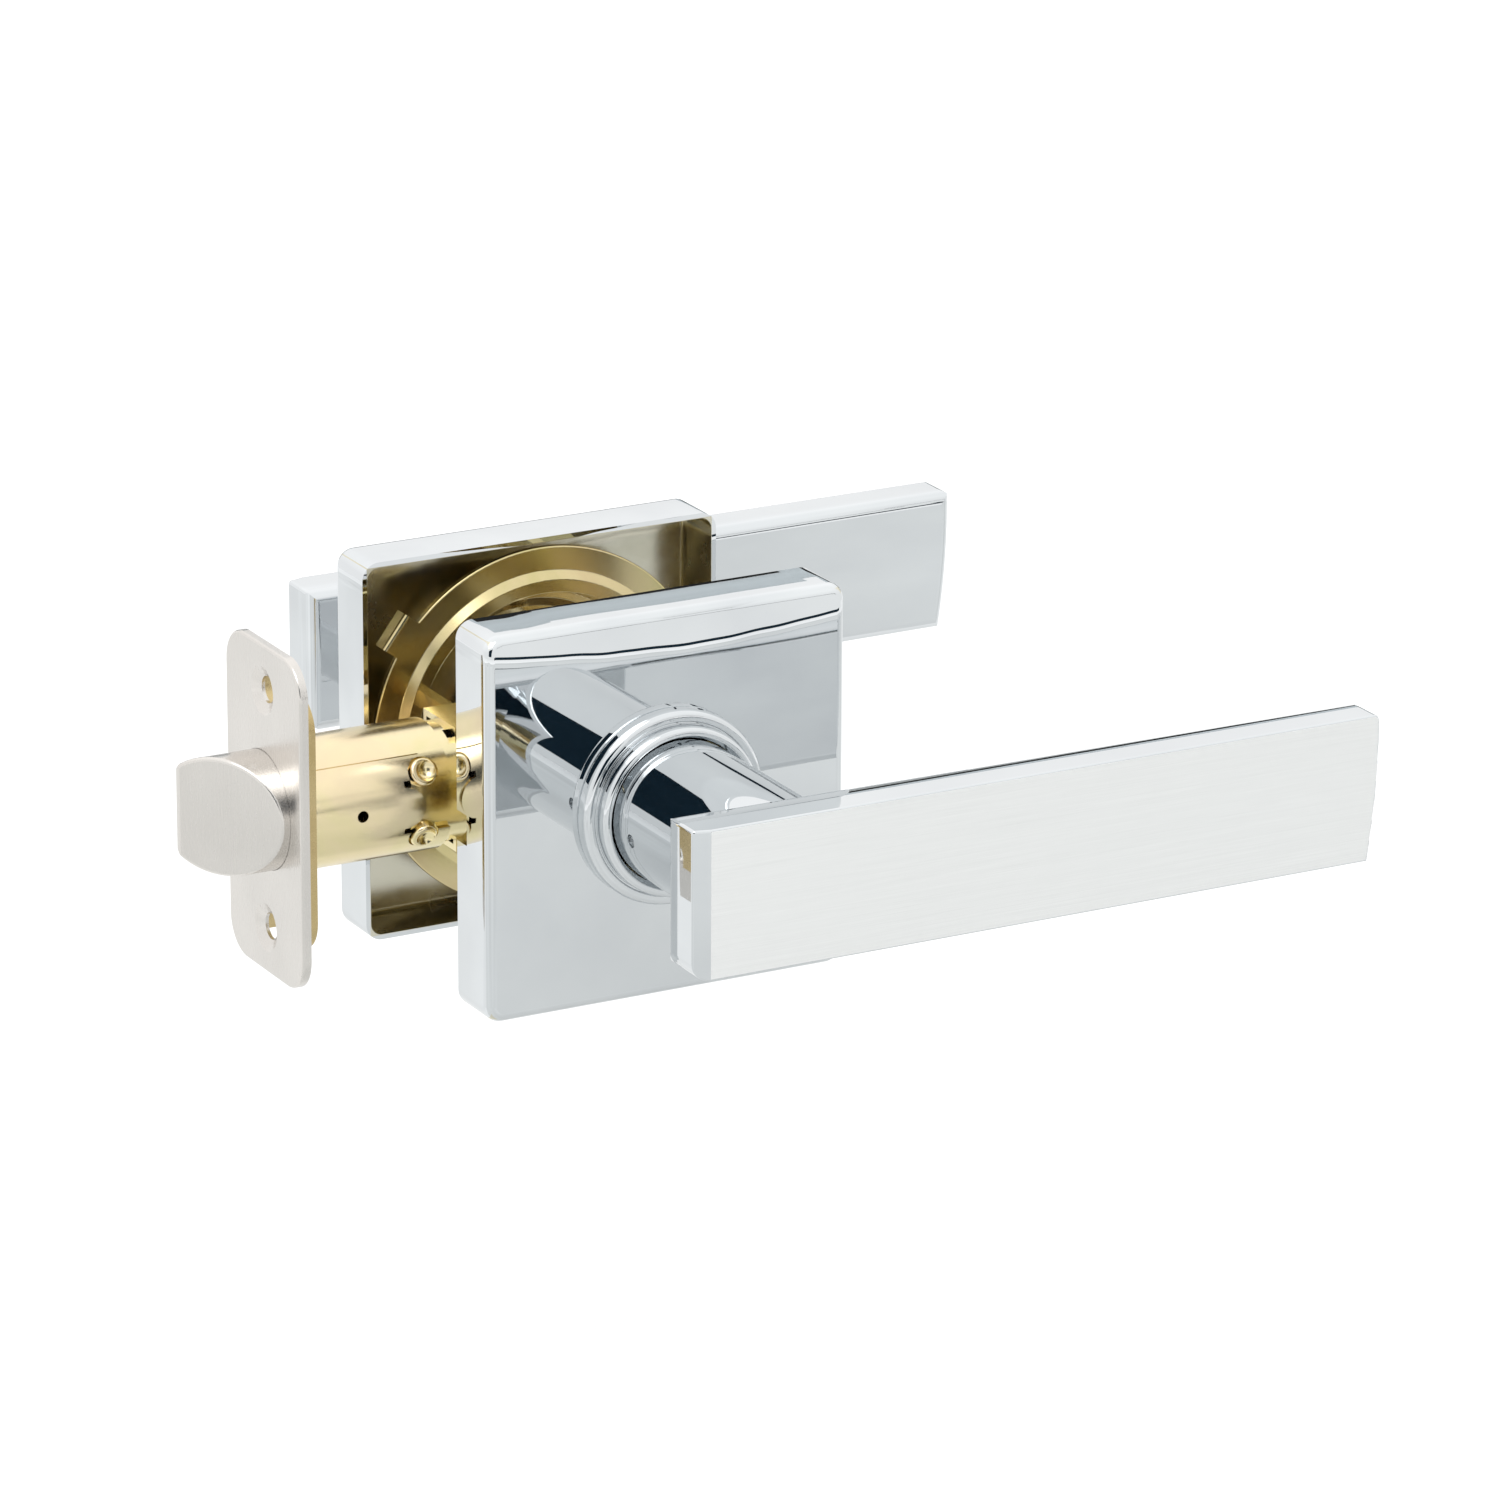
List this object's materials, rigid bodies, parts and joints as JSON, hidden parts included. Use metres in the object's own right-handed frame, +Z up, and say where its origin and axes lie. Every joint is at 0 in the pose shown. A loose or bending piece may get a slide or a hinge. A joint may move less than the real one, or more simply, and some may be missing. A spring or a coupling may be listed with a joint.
{
  "type": "door lever set",
  "caption": "Passage door lever set: two bar levers on square rosettes, a square spindle and a tubular latch with a slanted bolt.",
  "frame": {"origin": "on the spindle axis, midway between the two door faces", "axes": "+X along the levers, away from the door's edge; -Y towards the front set; +Z up"},
  "size_m": [0.1818, 0.152, 0.067],
  "materials": {
    "polished_chrome": "polished",
    "satin_chrome": "satin",
    "satin_nickel": "satin",
    "yellow_zinc": "gloss",
    "brass": "satin",
    "bright_steel": "satin",
    "spring_steel": "satin",
    "sintered_bronze": "matte"
  },
  "bodies": {
    "door_side": {"latch_faceplate": "satin_nickel", "latch_backplate": "brass", "latch_tube": "yellow_zinc", "latch_case": "yellow_zinc", "latch_spring_seat": "bright_steel", "latch_spring": "spring_steel", "threaded_posts": "bright_steel", "mounting_screws": "bright_steel", "front_rosette_cover": "polished_chrome", "front_rosette_collar": "polished_chrome", "front_mounting_plate": "yellow_zinc", "front_bearing_bush": "sintered_bronze", "front_return_spring": "spring_steel", "rear_rosette_cover": "polished_chrome", "rear_rosette_collar": "polished_chrome", "rear_mounting_plate": "yellow_zinc", "rear_bearing_bush": "sintered_bronze", "rear_return_spring": "spring_steel"},
    "front_handle": {"front_lever": "satin_chrome", "front_lever_hub": "bright_steel", "front_snap_ring": "spring_steel", "front_catch_spring": "spring_steel"},
    "rear_handle": {"rear_lever": "satin_chrome", "rear_lever_hub": "bright_steel", "rear_snap_ring": "spring_steel", "rear_catch_spring": "spring_steel"},
    "front_catch": {"front_lever_catch": "bright_steel"},
    "rear_catch": {"rear_lever_catch": "bright_steel"},
    "spindle_bar": {"spindle": "bright_steel"},
    "cam": {"latch_cam": "bright_steel"},
    "retractor": {"latch_retractor": "bright_steel"},
    "bolt": {"latch_bolt": "satin_nickel", "bolt_stem": "bright_steel"}
  },
  "joints": [
    {"name": "front_lever_turn", "type": "hinge", "parent": "door_side", "child": "front_handle", "pos_m": [0, 0, 0], "axis": [0, 1, 0], "range_deg": [0, 55], "stiffness_Nm_per_rad": 0.3, "springref_deg": -68.75},
    {"name": "rear_lever_turn", "type": "hinge", "parent": "door_side", "child": "rear_handle", "pos_m": [0, 0, 0], "axis": [0, 1, 0], "range_deg": [0, 55], "stiffness_Nm_per_rad": 0.3, "springref_deg": -68.75},
    {"name": "spindle_turn", "type": "hinge", "parent": "door_side", "child": "spindle_bar", "pos_m": [0, 0, 0], "axis": [0, 1, 0], "range_deg": [0, 55]},
    {"name": "cam_turn", "type": "hinge", "parent": "door_side", "child": "cam", "pos_m": [0, 0, 0], "axis": [0, 1, 0], "range_deg": [0, 55]},
    {"name": "retractor_slide", "type": "slide", "parent": "door_side", "child": "retractor", "axis": [1, 0, 0], "range_m": [0, 0.01272]},
    {"name": "bolt_slide", "type": "slide", "parent": "door_side", "child": "bolt", "axis": [1, 0, 0], "range_m": [0, 0.01272], "stiffness_N_per_m": 300, "springref_m": -0.012, "deforming": ["latch_spring"]},
    {"name": "front_catch_press", "type": "slide", "parent": "front_handle", "child": "front_catch", "axis": [1, 0, 0], "range_m": [0, 0.0025], "stiffness_N_per_m": 500, "springref_m": -0.003, "deforming": ["front_catch_spring"]},
    {"name": "rear_catch_press", "type": "slide", "parent": "rear_handle", "child": "rear_catch", "axis": [1, 0, 0], "range_m": [0, 0.0025], "stiffness_N_per_m": 500, "springref_m": -0.003, "deforming": ["rear_catch_spring"]}
  ],
  "couplings": [
    {"joint": "rear_lever_turn", "follows": "front_lever_turn", "ratio": 1},
    {"joint": "spindle_turn", "follows": "front_lever_turn", "ratio": 1},
    {"joint": "cam_turn", "follows": "front_lever_turn", "ratio": 1},
    {"joint": "retractor_slide", "follows": "front_lever_turn", "m_per_rad": 0.01323},
    {"joint": "bolt_slide", "follows": "front_lever_turn", "m_per_rad": 0.01323}
  ]
}
